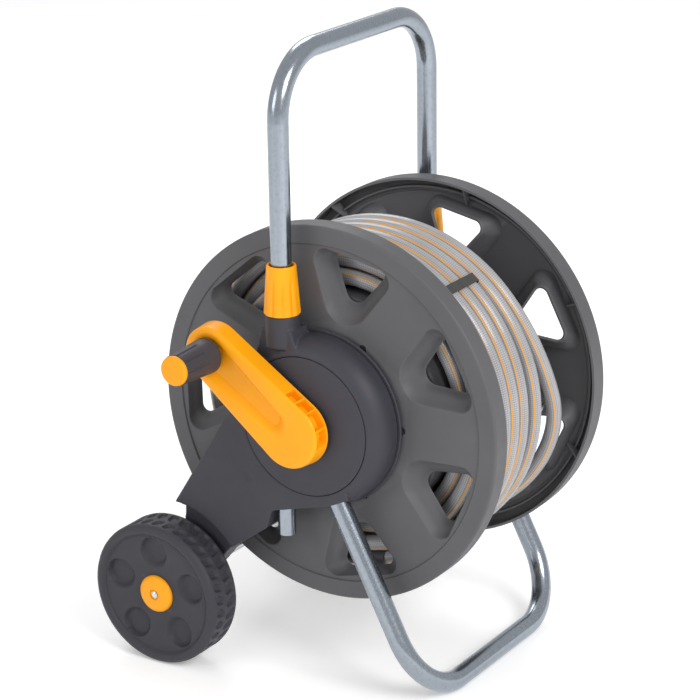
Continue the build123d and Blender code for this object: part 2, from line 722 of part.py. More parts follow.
foot_top_y = foot_y + foot_leg * foot_rise[1]
foot_top_z = foot_z + foot_leg * foot_rise[2]
with BuildPart() as foot_tube:
    with BuildLine() as foot_path:
        FilletPolyline(at(-tube_x, foot_top_y, foot_top_z), at(-tube_x, foot_y, foot_z),
                       at(tube_x, foot_y, foot_z), at(tube_x, foot_top_y, foot_top_z), radius=foot_bend)
    with BuildSketch(Plane(origin=foot_path.line @ 0, z_dir=foot_path.line % 0)):
        Circle(tube_radius)
        Circle(tube_radius - tube_wall, mode=Mode.SUBTRACT)
    sweep(path=foot_path.line)
    for outwards in (-1, 1):
        with BuildSketch(side_plane(outwards * frame_back_x, foot_screw_y, foot_screw_z)):
            Circle(foot_screw_radius)
        extrude(amount=outwards * 20, mode=Mode.SUBTRACT)
foot_tube.part.label = "foot_tube"
export_step(foot_tube.part, "parts/foot_tube.step")

with BuildPart() as foot_screws:
    for outwards in (-1, 1):
        turn_profile([
            (outwards * (frame_back_x - 0.8), 0), (outwards * (frame_back_x - 0.8), 3.6),
            (outwards * frame_back_x, 3.6), (outwards * frame_back_x, foot_screw_radius),
            (outwards * (frame_back_x + 18), foot_screw_radius), (outwards * (frame_back_x + 19), 0),
        ], foot_screw_y, foot_screw_z)
foot_screws.part.label = "foot_screws"
export_step(foot_screws.part, "parts/foot_screws.step")

with BuildPart() as handle_end:
    with BuildSketch(Plane(origin=at(-tube_x, handle_y, end_tube_low_z))):
        Circle(end_tube_radius)
        Circle(end_tube_radius - tube_wall, mode=Mode.SUBTRACT)
    extrude(amount=end_tube_high_z - end_tube_low_z)

# ---- Collet and collar round the handle tube -------------------------------------------------------------
with BuildPart() as collet:
    turn_upright([
        (tube_radius + slip, thread_top_z), (tube_radius + slip, collet_top_z),
        (collet_radius - 0.5, collet_top_z), (collet_radius, thread_top_z + 8),
        (collet_radius, thread_top_z),
    ], -tube_x)

with BuildPart() as collar:
    turn_upright([
        (thread_radius + 0.4, collar_low_z), (collar_low_radius, collar_low_z),
        (collar_top_radius, collar_top_z), (collet_radius + 0.4, collar_top_z),
        (collet_radius + 0.4, thread_top_z + 6), (thread_radius + 0.4, thread_top_z + 2),
    ], -tube_x)
    with BuildSketch(Plane(origin=at(-tube_x, handle_y, collar_low_z))):
        with PolarLocations(collar_low_radius + 1.4, collar_flutes):
            Circle(2.6)
    extrude(amount=collar_top_z - collar_low_z, mode=Mode.SUBTRACT)

# ---- Wheels, their bushes and caps, and the axle ---------------------------------------------------------
bush_radius = 8.0
wheel_hub_x = 187.4
with BuildPart() as wheel:
    turn_profile([
        (-152, bush_radius), (-152, 15), (-168, 17), (-178, 60), (-156, 66), (-152, 72),
        (-wheel_inner_x, 76), (-153, 79.5), (-157, wheel_radius), (-191, wheel_radius), (-195.5, 79),
        (-wheel_outer_x, 75.5), (-196.5, 70), (-193, 67.7), (-189, 66), (-185.5, 50), (-186, 30),
        (-wheel_hub_x, 22), (-wheel_hub_x, bush_radius),
    ], wheel_y, wheel_z)
    with BuildSketch(side_plane(-194, wheel_y, wheel_z)):
        with PolarLocations(49, dimple_count, start_angle=dimple_angle):
            Circle(13)
    extrude(amount=11, mode=Mode.SUBTRACT)

with BuildPart() as wheel_bush:
    turn_profile([(-152, axle_radius + running), (-152, bush_radius), (-wheel_hub_x, bush_radius),
                  (-wheel_hub_x, axle_radius + running)], wheel_y, wheel_z)

wheel_cap_radius = 21.0
cap_screw_radius = 2.2
with BuildPart() as wheel_cap:
    turn_profile([
        (-axle_half - 1, 0), (-axle_half - 1, axle_radius), (-wheel_hub_x - slip, axle_radius),
        (-wheel_hub_x - slip, wheel_cap_radius), (-190, wheel_cap_radius), (-193.6, 16), (-196.2, 8),
        (-196.8, 0),
    ], wheel_y, wheel_z)
    with BuildSketch(side_plane(-197, wheel_y, wheel_z)):
        Circle(4.3)
    extrude(amount=3, mode=Mode.SUBTRACT)
    with BuildSketch(side_plane(-197, wheel_y, wheel_z)):
        Circle(cap_screw_radius)
    extrude(amount=9, mode=Mode.SUBTRACT)

with BuildPart() as wheel_axle:
    turn_profile([(-axle_half, 0), (-axle_half, axle_radius - 1), (-axle_half + 1, axle_radius),
                  (axle_half - 1, axle_radius), (axle_half, axle_radius - 1), (axle_half, 0)],
                 wheel_y, wheel_z)
    for outwards in (-1, 1):
        with BuildSketch(side_plane(outwards * axle_half, wheel_y, wheel_z)):
            Circle(cap_screw_radius)
        extrude(amount=-outwards * 14, mode=Mode.SUBTRACT)
wheel_axle.part.label = "wheel_axle"
export_step(wheel_axle.part, "parts/wheel_axle.step")

with BuildPart() as wheel_cap_screws:
    for outwards in (-1, 1):
        turn_profile([
            (outwards * 196.6, 0), (outwards * 196.6, 2), (outwards * 195.6, 4), (outwards * 194, 4),
            (outwards * 194, cap_screw_radius), (outwards * (axle_half - 12), cap_screw_radius),
            (outwards * (axle_half - 12), 0),
        ], wheel_y, wheel_z)
wheel_cap_screws.part.label = "wheel_cap_screws"
export_step(wheel_cap_screws.part, "parts/wheel_cap_screws.step")

# ---- Pairs: the left piece and its mirror image ----------------------------------------------------------
pairs = {
    "flange": flange, "side_cover": side_cover, "hub_cap": hub_cap, "side_frame": side_frame,
    "handle_end": handle_end, "collet": collet, "collar": collar, "wheel": wheel,
    "wheel_bush": wheel_bush, "wheel_cap": wheel_cap,
}
for pair_name, left in pairs.items():
    left.part.label = f"left_{pair_name}"
    export_step(left.part, f"parts/left_{pair_name}.step")
    with BuildPart() as right:
        mirror(left.part, about=mid_plane)
    right.part.label = f"right_{pair_name}"
    export_step(right.part, f"parts/right_{pair_name}.step")
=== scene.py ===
import json
import math

import bmesh
import bpy
import numpy as np
from mathutils import Matrix, Vector


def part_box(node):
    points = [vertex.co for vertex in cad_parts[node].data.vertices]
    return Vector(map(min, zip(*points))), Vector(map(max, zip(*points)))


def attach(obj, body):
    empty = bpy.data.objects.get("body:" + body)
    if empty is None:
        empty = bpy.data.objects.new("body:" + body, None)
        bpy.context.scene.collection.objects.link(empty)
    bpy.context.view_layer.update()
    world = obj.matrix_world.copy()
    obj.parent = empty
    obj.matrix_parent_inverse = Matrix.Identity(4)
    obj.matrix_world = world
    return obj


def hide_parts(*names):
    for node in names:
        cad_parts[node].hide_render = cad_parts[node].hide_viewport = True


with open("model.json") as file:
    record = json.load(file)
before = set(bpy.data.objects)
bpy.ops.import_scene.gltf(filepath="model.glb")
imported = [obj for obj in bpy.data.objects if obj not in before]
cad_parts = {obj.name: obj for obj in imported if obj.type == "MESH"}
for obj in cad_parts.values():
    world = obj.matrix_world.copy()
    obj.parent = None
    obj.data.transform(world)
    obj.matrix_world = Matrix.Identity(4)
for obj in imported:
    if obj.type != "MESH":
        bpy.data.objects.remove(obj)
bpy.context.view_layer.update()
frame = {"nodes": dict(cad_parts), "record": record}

# Lengths below are millimetres from the reel axis, as in the CAD, and place() turns them into
# metres in the frame. Along the axle they are given outwards from the reel's middle.
MM = 0.001
LEFT_LOW, LEFT_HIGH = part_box("left_flange")
RIGHT_LOW, RIGHT_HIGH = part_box("right_flange")
REEL = Vector((
    (LEFT_LOW.x + RIGHT_HIGH.x) / 2,
    (LEFT_LOW.y + LEFT_HIGH.y) / 2,
    (LEFT_LOW.z + LEFT_HIGH.z) / 2,
))
SIDES = {"left": -1, "right": 1}
TAU = 2 * math.pi


def place(x, y=0.0, z=0.0):
    """A point given from the reel axis, in the frame."""
    return REEL + MM * Vector((x, y, z))


# ---- Camera, floor and light --------------------------------------------------------------------
def add_camera():
    """The photograph's view: a long lens, from the crank's side and above."""
    azimuth, elevation, roll = math.radians(-57.081), math.radians(19.0042), math.radians(-0.8272)
    back = Vector((math.sin(azimuth) * math.cos(elevation), -math.cos(azimuth) * math.cos(elevation),
                   math.sin(elevation)))
    right = Vector((math.cos(azimuth), math.sin(azimuth), 0))
    up = back.cross(right)
    turned_right = right * math.cos(roll) + up * math.sin(roll)
    turned_up = up * math.cos(roll) - right * math.sin(roll)
    data = bpy.data.cameras.new("camera")
    data.lens = 129.07
    data.sensor_width = 36.0
    data.clip_end = 50.0
    camera = bpy.data.objects.new("camera", data)
    bpy.context.scene.collection.objects.link(camera)
    spot = place(-2166.6, -1358.3, 918.1)
    camera.matrix_world = Matrix.Translation(spot) @ Matrix(
        (turned_right, turned_up, back)).transposed().to_4x4()
    bpy.context.scene.camera = camera


def add_light(name, spot, size, watts):
    """A large soft lamp that points at the middle of the cart."""
    data = bpy.data.lights.new(name, "AREA")
    data.size = size
    data.energy = watts
    lamp = bpy.data.objects.new(name, data)
    bpy.context.scene.collection.objects.link(lamp)
    lamp.location = spot
    lamp.rotation_euler = (Vector(spot) - REEL).to_track_quat("Z", "Y").to_euler()


def add_stage():
    """A pale floor, a white surround and three soft lamps."""
    bpy.ops.mesh.primitive_plane_add(size=24.0, location=(0, 0, 0))
    floor = bpy.context.object
    floor.name = "floor"
    paint = bpy.data.materials.new("floor_paint")
    paint.use_nodes = True
    shader = paint.node_tree.nodes["Principled BSDF"]
    shader.inputs["Base Color"].default_value = (0.93, 0.93, 0.93, 1)
    shader.inputs["Roughness"].default_value = 0.9
    shader.inputs["Emission Color"].default_value = (1, 1, 1, 1)
    shader.inputs["Emission Strength"].default_value = 0.22
    floor.data.materials.append(paint)
    world = bpy.data.worlds.new("surround")
    world.use_nodes = True
    world.node_tree.nodes["Background"].inputs["Color"].default_value = (1, 1, 1, 1)
    world.node_tree.nodes["Background"].inputs["Strength"].default_value = 0.68
    bpy.context.scene.world = world
    add_light("key_lamp", (-1.0, -2.6, 2.2), 1.4, 62)
    add_light("side_lamp", (-2.8, 1.2, 1.6), 1.4, 16)
    add_light("back_lamp", (1.8, 1.6, 2.6), 1.6, 30)
    bpy.context.scene.view_settings.view_transform = "Standard"


# ---- Materials ---------------------------------------------------------------------------------
def new_material(name, roughness, metallic=0.0, coat=0.0, specular=0.5):
    """A material whose even values sit on the shader's own sockets."""
    made = bpy.data.materials.new(name)
    made.use_nodes = True
    shader = made.node_tree.nodes["Principled BSDF"]
    shader.inputs["Roughness"].default_value = roughness
    shader.inputs["Metallic"].default_value = metallic
    shader.inputs["Coat Weight"].default_value = coat
    shader.inputs["Specular IOR Level"].default_value = specular
    return made


def node(made, kind, sockets, **settings):
    """Adds a node. Each socket gets a number, a colour or another node's output."""
    new = made.node_tree.nodes.new(kind)
    for name, value in settings.items():
        setattr(new, name, value)
    for name, value in sockets.items():
        if isinstance(value, bpy.types.NodeSocket):
            made.node_tree.links.new(value, new.inputs[name])
        else:
            new.inputs[name].default_value = value
    return new


def math_node(made, operation, first, second=0.0):
    return node(made, "ShaderNodeMath", {0: first, 1: second}, operation=operation).outputs[0]


def finish_with(made, **outputs):
    """Links outputs to the shader's sockets, named with _ for a space."""
    shader = made.node_tree.nodes["Principled BSDF"]
    for name, output in outputs.items():
        made.node_tree.links.new(output, shader.inputs[name.replace("_", " ")])


def ramp(made, factor, *stops):
    """A colour ramp with (place, grey or colour) stops."""
    new = node(made, "ShaderNodeValToRGB", {"Fac": factor})
    elements = new.color_ramp.elements
    while len(elements) < len(stops):
        elements.new(0.5)
    for element, (spot, colour) in zip(elements, stops):
        element.position = spot
        element.color = (*colour, 1) if hasattr(colour, "__len__") else (colour, colour, colour, 1)
    return new.outputs["Color"]


def shade(colour, share):
    return tuple(min(1.0, part * share) for part in colour)


def rest_coordinates(made):
    return node(made, "ShaderNodeTexCoord", {}).outputs["Object"]


def moulded_plastic(name, colour, roughness, grain, grain_depth, edge_highlight_share=1.5):
    """Moulded plastic: slow colour drift, fine spark-eroded grain and convex edges lightened as a painted
    highlight.
    """
    made = new_material(name, roughness, specular=0.28)
    spot = rest_coordinates(made)
    drift = node(made, "ShaderNodeTexNoise", {"Vector": spot, "Scale": 9.0, "Detail": 4.0})
    base = ramp(made, drift.outputs["Fac"], (0.25, shade(colour, 0.9)), (0.75, shade(colour, 1.1)))
    # Painted highlight: convex edges, found by pointiness, get a lighter copy of the colour.
    point = node(made, "ShaderNodeNewGeometry", {}).outputs["Pointiness"]
    edge = ramp(made, point, (0.53, 0.0), (0.62, 1.0))
    edge_highlighted = node(made, "ShaderNodeMix", {"Factor": edge, "A": base, "B": (*shade(colour, edge_highlight_share), 1)},
                data_type="RGBA")
    rub = node(made, "ShaderNodeTexNoise", {"Vector": spot, "Scale": 60.0, "Detail": 5.0})
    rough = ramp(made, rub.outputs["Fac"], (0.3, max(0.0, roughness - 0.06)), (0.7, roughness + 0.06))
    fine = node(made, "ShaderNodeTexNoise", {"Vector": spot, "Scale": grain, "Detail": 2.0})
    bump = node(made, "ShaderNodeBump", {"Height": fine.outputs["Fac"], "Strength": 0.5,
                                         "Distance": grain_depth})
    finish_with(made, Base_Color=edge_highlighted.outputs["Result"], Roughness=rough, Normal=bump.outputs["Normal"])
    return made


def zinc_steel(name, colour, roughness, streak):
    """Galvanised steel: a faint crystal mottle and drawing lines along the tube."""
    made = new_material(name, roughness, metallic=1.0)
    spot = rest_coordinates(made)
    spangle = node(made, "ShaderNodeTexVoronoi", {"Vector": spot, "Scale": 210.0})
    base = ramp(made, spangle.outputs["Distance"], (0.0, shade(colour, 0.93)), (0.6, shade(colour, 1.06)))
    stretched = node(made, "ShaderNodeMapping", {"Vector": spot, "Scale": (streak, streak, 6.0)})
    lines = node(made, "ShaderNodeTexNoise", {"Vector": stretched.outputs["Vector"], "Scale": 1.0,
                                              "Detail": 3.0})
    rough = ramp(made, lines.outputs["Fac"], (0.3, roughness - 0.07), (0.7, roughness + 0.1))
    bump = node(made, "ShaderNodeBump", {"Height": lines.outputs["Fac"], "Strength": 0.25,
                                         "Distance": 0.00006})
    finish_with(made, Base_Color=base, Roughness=rough, Normal=bump.outputs["Normal"])
    return made


def braided_hose():
    """Clear skin over a grey braid, with a thin orange line along each side.
    The UV map runs once round the hose in U and in metres along it in V."""
    made = new_material("braided_hose", 0.33, coat=0.25)
    yarns_round = 22.0
    yarns_per_metre = 440.0
    stripe_from_back = 0.352
    stripe_half = 0.0145
    uv = node(made, "ShaderNodeSeparateXYZ",
              {"Vector": node(made, "ShaderNodeUVMap", {}, uv_map="UVMap").outputs["UV"]})
    around, along = uv.outputs["X"], uv.outputs["Y"]
    round_part = math_node(made, "MULTIPLY", around, TAU * yarns_round / 2)
    along_part = math_node(made, "MULTIPLY", along, TAU * yarns_per_metre / 2)
    one_way = math_node(made, "SINE", math_node(made, "ADD", round_part, along_part))
    other_way = math_node(made, "SINE", math_node(made, "SUBTRACT", round_part, along_part))
    braid = math_node(made, "MULTIPLY", one_way, other_way)
    height = math_node(made, "ADD", math_node(made, "MULTIPLY", braid, 0.5), 0.5)
    yarn = ramp(made, height, (0.1, (0.225, 0.225, 0.235)), (0.55, (0.33, 0.33, 0.345)),
                (0.95, (0.47, 0.47, 0.485)))
    dirt = node(made, "ShaderNodeTexNoise", {"Vector": rest_coordinates(made), "Scale": 30.0, "Detail": 4.0})
    tone = ramp(made, dirt.outputs["Fac"], (0.3, 0.9), (0.7, 1.05))
    toned = node(made, "ShaderNodeMix", {"Factor": 1.0, "A": yarn, "B": tone}, data_type="RGBA",
                 blend_type="MULTIPLY")
    from_back = math_node(made, "ABSOLUTE", math_node(made, "SUBTRACT", around, 0.5))
    aside = math_node(made, "ABSOLUTE", math_node(made, "SUBTRACT", from_back, stripe_from_back))
    stripe = ramp(made, math_node(made, "DIVIDE", aside, stripe_half), (0.8, 1.0), (1.0, 0.0))
    colour = node(made, "ShaderNodeMix", {"Factor": stripe, "A": toned.outputs["Result"],
                                          "B": (0.82, 0.36, 0.02, 1)}, data_type="RGBA")
    bump = node(made, "ShaderNodeBump", {"Height": height, "Strength": 0.35, "Distance": 0.00025})
    finish_with(made, Base_Color=colour.outputs["Result"], Normal=bump.outputs["Normal"])
    return made


def woven_strap():
    """Dark flat webbing, woven across and along."""
    made = new_material("woven_strap", 0.75)
    spot = rest_coordinates(made)
    waves = node(made, "ShaderNodeTexWave", {"Vector": spot, "Scale": 420.0, "Distortion": 0.6},
                 bands_direction="DIAGONAL")
    colour = ramp(made, waves.outputs["Fac"], (0.2, 0.028), (0.8, 0.06))
    bump = node(made, "ShaderNodeBump", {"Height": waves.outputs["Fac"], "Strength": 0.6,
                                         "Distance": 0.0003})
    finish_with(made, Base_Color=colour, Normal=bump.outputs["Normal"])
    return made


FLANGE_GREY = (0.098, 0.098, 0.104)
COVER_GREY = (0.042, 0.042, 0.052)
YELLOW = (0.9, 0.35, 0.002)
PAINTS = {
    "flange_plastic": moulded_plastic("flange_plastic", FLANGE_GREY, 0.5, 1800.0, 0.00018),
    "core_plastic": moulded_plastic("core_plastic", (0.06, 0.06, 0.064), 0.5, 1800.0, 0.00015),
    "cover_plastic": moulded_plastic("cover_plastic", COVER_GREY, 0.47, 2600.0, 0.00022),
    "yellow_plastic": moulded_plastic("yellow_plastic", YELLOW, 0.36, 3000.0, 0.00006, 1.1),
    "grip_plastic": moulded_plastic("grip_plastic", (0.05, 0.047, 0.056), 0.48, 2600.0, 0.0002),
    "tube_steel": zinc_steel("tube_steel", (0.31, 0.345, 0.39), 0.2, 1500.0),
    "axle_steel": zinc_steel("axle_steel", (0.6, 0.62, 0.64), 0.28, 600.0),
    "wheel_plastic": moulded_plastic("wheel_plastic", (0.04, 0.04, 0.049), 0.55, 1500.0, 0.0003),
    "bearing_plastic": moulded_plastic("bearing_plastic", (0.72, 0.72, 0.7), 0.4, 2600.0, 0.00005, 1.0),
    "hose_skin": braided_hose(),
    "fitting_plastic": moulded_plastic("fitting_plastic", (0.06, 0.06, 0.066), 0.45, 2600.0, 0.0001),
    "strap_webbing": woven_strap(),
    "seal_rubber": moulded_plastic("seal_rubber", (0.02, 0.02, 0.02), 0.6, 2600.0, 0.0001),
}


def paint_cad_nodes():
    """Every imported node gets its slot's finish."""
    for part in frame["record"]["subparts"]:
        shown = frame["nodes"][part["node"]]
        shown.data.materials.clear()
        shown.data.materials.append(PAINTS[part["material_slot"]])


# ---- Mesh tools --------------------------------------------------------------------------------
def add_piece(name, bm, body, slot, nodes, sharp=34.0, orient=True):
    """Turns a bmesh into a piece on a body that stands for some CAD nodes."""
    if orient:
        bmesh.ops.recalc_face_normals(bm, faces=bm.faces[:])
    mesh = bpy.data.meshes.new(name)
    bm.to_mesh(mesh)
    bm.free()
    mesh.shade_smooth()
    mesh.set_sharp_from_angle(angle=math.radians(sharp))
    mesh.materials.append(PAINTS[slot])
    piece = bpy.data.objects.new(name, mesh)
    bpy.context.scene.collection.objects.link(piece)
    weighted = piece.modifiers.new("even_shading", "WEIGHTED_NORMAL")
    weighted.keep_sharp = True
    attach(piece, body)
    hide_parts(*nodes)
    return piece


def add_loop(bm, points):
    return [bm.verts.new(place(*point)) for point in points]


def loop_edges(bm, loop):
    return [bm.edges.new((loop[k - 1], loop[k])) for k in range(len(loop))]


def bridge(bm, first, second):
    """Quads between two loops of equally many points."""
    for k in range(len(first)):
        bm.faces.new((first[k - 1], first[k], second[k], second[k - 1]))


def loft(bm, loops, start_cap=False, end_cap=False, closed=False):
    """Bridges loops in order; the ends may be capped, or joined to each other."""
    made = [add_loop(bm, loop) for loop in loops]
    for first, second in zip(made, made[1:]):
        bridge(bm, first, second)
    if closed:
        bridge(bm, made[-1], made[0])
    if start_cap:
        bm.faces.new(made[0])
    if end_cap:
        bm.faces.new(made[-1])


def circle(x, radius, count, y=0.0, z=0.0):
    """Points of a circle about a line along X."""
    return [(x, y + radius * math.cos(TAU * k / count), z + radius * math.sin(TAU * k / count))
            for k in range(count)]


def upright_circle(radius, z, count, x, y):
    """Points of a circle about an upright line."""
    return [(x + radius * math.cos(TAU * k / count), y + radius * math.sin(TAU * k / count), z)
            for k in range(count)]


def smooth(share):
    """Eases from 0 to 1."""
    share = min(1.0, max(0.0, share))
    return share * share * (3 - 2 * share)


def settled(source, voxel, rounds, name, body, slot):
    """A moulded copy of a CAD shape: remeshed finely, then relaxed so that its edges are round."""
    bm = bmesh.new()
    bm.from_mesh(frame["nodes"][source].data)
    bmesh.ops.remove_doubles(bm, verts=bm.verts[:], dist=0.00002)
    piece = add_piece(name, bm, body, slot, [source], orient=False)
    piece.modifiers.clear()
    remesh = piece.modifiers.new("remesh", "REMESH")
    remesh.mode = "VOXEL"
    remesh.voxel_size = voxel * MM
    remesh.use_smooth_shade = True
    relax = piece.modifiers.new("relax", "SMOOTH")
    relax.factor = 0.5
    relax.iterations = rounds
    bpy.context.view_layer.update()
    made = piece.evaluated_get(bpy.context.evaluated_depsgraph_get())
    mesh = bpy.data.meshes.new_from_object(made)
    piece.modifiers.clear()
    piece.data = mesh
    mesh.shade_smooth()
    if not mesh.materials:
        mesh.materials.append(PAINTS[slot])
    return piece


# ---- Hose ----------------------------------------------------------------------------------------
HOSE_DIAMETER = 16.8
HOSE_START_ANGLE = 190.6
HOSE_TURNS = 19.783
POINTS_PER_TURN = 18
# Where the hose lies after so many turns: (turns, along the axle, distance from the axis).
HOSE_STOPS = (
    (0.0, 64.0, 141.3), (0.15, 63.6, 139.8), (8.4, -75.4, 139.8), (8.75, -75.4, 157.2),
    (13.4, 3.3, 157.2), (13.85, 74.0, 170.0), (13.99, 74.0, 175.4), (14.064, 38.0, 175.4),
    (14.116, 25.0, 175.4), (14.24, 17.5, 175.4), (14.55, 16.5, 175.4), (15.03, 15.6, 175.4),
    (15.12, 6.0, 175.4), (15.24, -0.5, 175.4), (15.7, -10.0, 175.4), (16.03, -13.6, 175.4),
    (16.6, -29.0, 175.4), (17.03, -33.5, 175.4), (17.6, -48.0, 175.4), (18.03, -52.2, 175.4),
    (18.7, -67.0, 175.4), (19.03, -69.4, 175.4), (19.5, -68.4, 175.4), (HOSE_TURNS, -68.0, 175.4),
)


def hose_points():
    """Control points of the wound hose, from the elbow's barb to the connector."""
    turns, across, radii = (np.array(column) for column in zip(*HOSE_STOPS))
    steps = int(HOSE_TURNS * POINTS_PER_TURN)
    # A control point stands out from the curve by this share of its radius.
    stand_out = 0.75 + 0.25 * math.cos(TAU / POINTS_PER_TURN)
    points = []
    for step in range(steps + 1):
        turn = HOSE_TURNS * step / steps
        radius = np.interp(turn, turns, radii)
        if 0 < step < steps:
            radius /= stand_out
        angle = math.radians(HOSE_START_ANGLE) - TAU * turn
        x = np.interp(turn, turns, across) + 0.35 * math.sin(5.3 * turn)
        points.append(place(x, radius * math.cos(angle), radius * math.sin(angle)))
    return points


def spline_path(points, resolution):
    """Points along the route's smooth spline, in metres."""
    data = bpy.data.curves.new("route", "CURVE")
    data.dimensions = "3D"
    spline = data.splines.new("NURBS")
    spline.points.add(len(points) - 1)
    for spline_point, point in zip(spline.points, points):
        spline_point.co = (*point, 1)
    spline.order_u = 3
    spline.use_endpoint_u = True
    spline.resolution_u = resolution
    route = bpy.data.objects.new("route", data)
    mesh = bpy.data.meshes.new_from_object(route)
    path = [vertex.co.copy() for vertex in mesh.vertices]
    bpy.data.objects.remove(route)
    return path


def add_hose():
    """The wound hose as a tube with its own UV map, so that its stripes stay at the sides."""
    path = spline_path(hose_points(), 6)
    around = 20
    bm = bmesh.new()
    uv_layer = bm.loops.layers.uv.new("UVMap")
    rings, travelled = [], [0.0]
    for k, point in enumerate(path):
        ahead = (path[min(k + 1, len(path) - 1)] - path[max(k - 1, 0)]).normalized()
        spoke = Vector((0, point.y - REEL.y, point.z - REEL.z))
        outward = (spoke - ahead * spoke.dot(ahead)).normalized()
        aside = ahead.cross(outward)
        ring = []
        for step in range(around):
            turn = TAU * step / around
            offset = outward * math.cos(turn) + aside * math.sin(turn)
            ring.append(bm.verts.new(point + offset * HOSE_DIAMETER / 2 * MM))
        rings.append(ring)
        if k:
            travelled.append(travelled[-1] + (point - path[k - 1]).length)
    for k, (first, second) in enumerate(zip(rings, rings[1:])):
        for step in range(around):
            after = (step + 1) % around
            face = bm.faces.new((first[step], first[after], second[after], second[step]))
            corners = ((step, k), (step + 1, k), (step + 1, k + 1), (step, k + 1))
            for loop, (column, row) in zip(face.loops, corners):
                loop[uv_layer].uv = (column / around, travelled[row])
    bm.faces.new(rings[0])
    bm.faces.new(rings[-1])
    hose = add_piece("hose", bm, "drum", "hose_skin", ["hose_coil"])
    hose.modifiers.clear()
    return hose, path


def add_strap():
    """A webbing strap round the outer layer's turns, drawn down between them."""
    angle, half_width, thickness = math.radians(130.0), 5.5, 1.4
    left, right, low, high, corner = -79.5, -6.5, 166.0, 185.2, 8.0
    centres = ((right - corner, high - corner, 0), (left + corner, high - corner, 90),
               (left + corner, low + corner, 180), (right - corner, low + corner, 270))
    line = []
    for x, height, start in centres:
        for step in range(9):
            turn = math.radians(start + step * 90 / 8)
            line.append((x + corner * math.cos(turn), height + corner * math.sin(turn)))
        if start == 0:
            for x_step in np.linspace(right - corner, left + corner, 40)[1:-1]:
                dip = 0.9 * (1 - math.cos(TAU * x_step / 18.3)) / 2
                line.append((x_step, high - dip))
    spoke = (math.cos(angle), math.sin(angle))
    way = (math.sin(angle), -math.cos(angle))
    section = [(-half_width, -0.25), (-half_width + 0.5, -0.5), (half_width - 0.5, -0.5),
               (half_width, -0.25), (half_width, 0.25), (half_width - 0.5, 0.5),
               (-half_width + 0.5, 0.5), (-half_width, 0.25)]
    loops = []
    for k, (x, height) in enumerate(line):
        before, after = line[k - 1], line[(k + 1) % len(line)]
        run = Vector((after[0] - before[0], after[1] - before[1])).normalized()
        out = Vector((run.y, -run.x))
        loop = []
        for across, lift in section:
            px, ph = x + out.x * lift * thickness, height + out.y * lift * thickness
            loop.append((px, ph * spoke[0] + across * way[0], ph * spoke[1] + across * way[1]))
        loops.append(loop)
    bm = bmesh.new()
    loft(bm, loops, closed=True)
    return add_piece("strap", bm, "drum", "strap_webbing", ["hose_strap"])


# ---- Reel flanges ----------------------------------------------------------------------------------
FLANGE_FACE = 116.6
BAND_FACE = 118.3
BAND_RADIUS = 184.8
FLANGE_RADIUS = 205.0
RIM_EDGE = 95.3
SKIN = 2.8
WINDOW_COUNT = 7
WINDOW_ANGLE = 50.3
WINDOW_DEPTH = 19.6


def rounded_triangle(tip, side, half, tip_round, side_round, grow=0.0):
    """A rounded triangle that points at the hub, as (along its spoke, across it) points."""
    lean = math.atan2(half, side - tip)
    away = side_round / math.tan((math.pi / 2 - lean) / 2)
    corners = (
        (side - side_round, half - away, side_round, 0, math.pi / 2 + lean),
        (tip + tip_round / math.sin(lean), 0, tip_round, math.pi / 2 + lean, 1.5 * math.pi - lean),
        (side - side_round, away - half, side_round, 1.5 * math.pi - lean, TAU),
    )
    arc_steps, run_steps = 12, 6
    arcs = []
    for along, across, radius, start, end in corners:
        turns = np.linspace(start, end, arc_steps + 1)
        arcs.append([(along + (radius + grow) * math.cos(turn), across + (radius + grow) * math.sin(turn))
                     for turn in turns])
    points = []
    for k, arc in enumerate(arcs):
        points += arc
        begin, end = np.array(arc[-1]), np.array(arcs[(k + 1) % 3][0])
        points += [tuple(begin + (end - begin) * step / run_steps) for step in range(1, run_steps)]
    return points


def window_loops(turn):
    """Loops of one window, from the flange's flat face down its dish to the opening."""
    mouth = (73.4, 178.6, 54.4, 27.0, 14.0)
    opening = (112.4, 173.5, 35.4, 13.0, 8.0)
    cos, sin = math.cos(turn), math.sin(turn)
    # (share of the way down the dish, growth of the mouth, depth) at its rounded upper edge.
    stages = [(0.0, 1.4, 0.0), (0.0, 0.7, 0.1), (0.0, 0.15, 0.4), (0.03, 0.0, 1.1)]
    stages += [(step / 8, 0.0, None) for step in range(1, 9)]
    loops = []
    for share, grow, depth in stages:
        outer = np.array(rounded_triangle(*mouth, grow))
        inner = np.array(rounded_triangle(*opening))
        eased = share + 0.06 * math.sin(TAU * share)
        blended = outer + (inner - outer) * share
        if depth is None:
            depth = 0.6 + (WINDOW_DEPTH - 0.6) * eased
        loops.append([(depth, along * cos - across * sin, along * sin + across * cos)
                      for along, across in blended])
    return loops


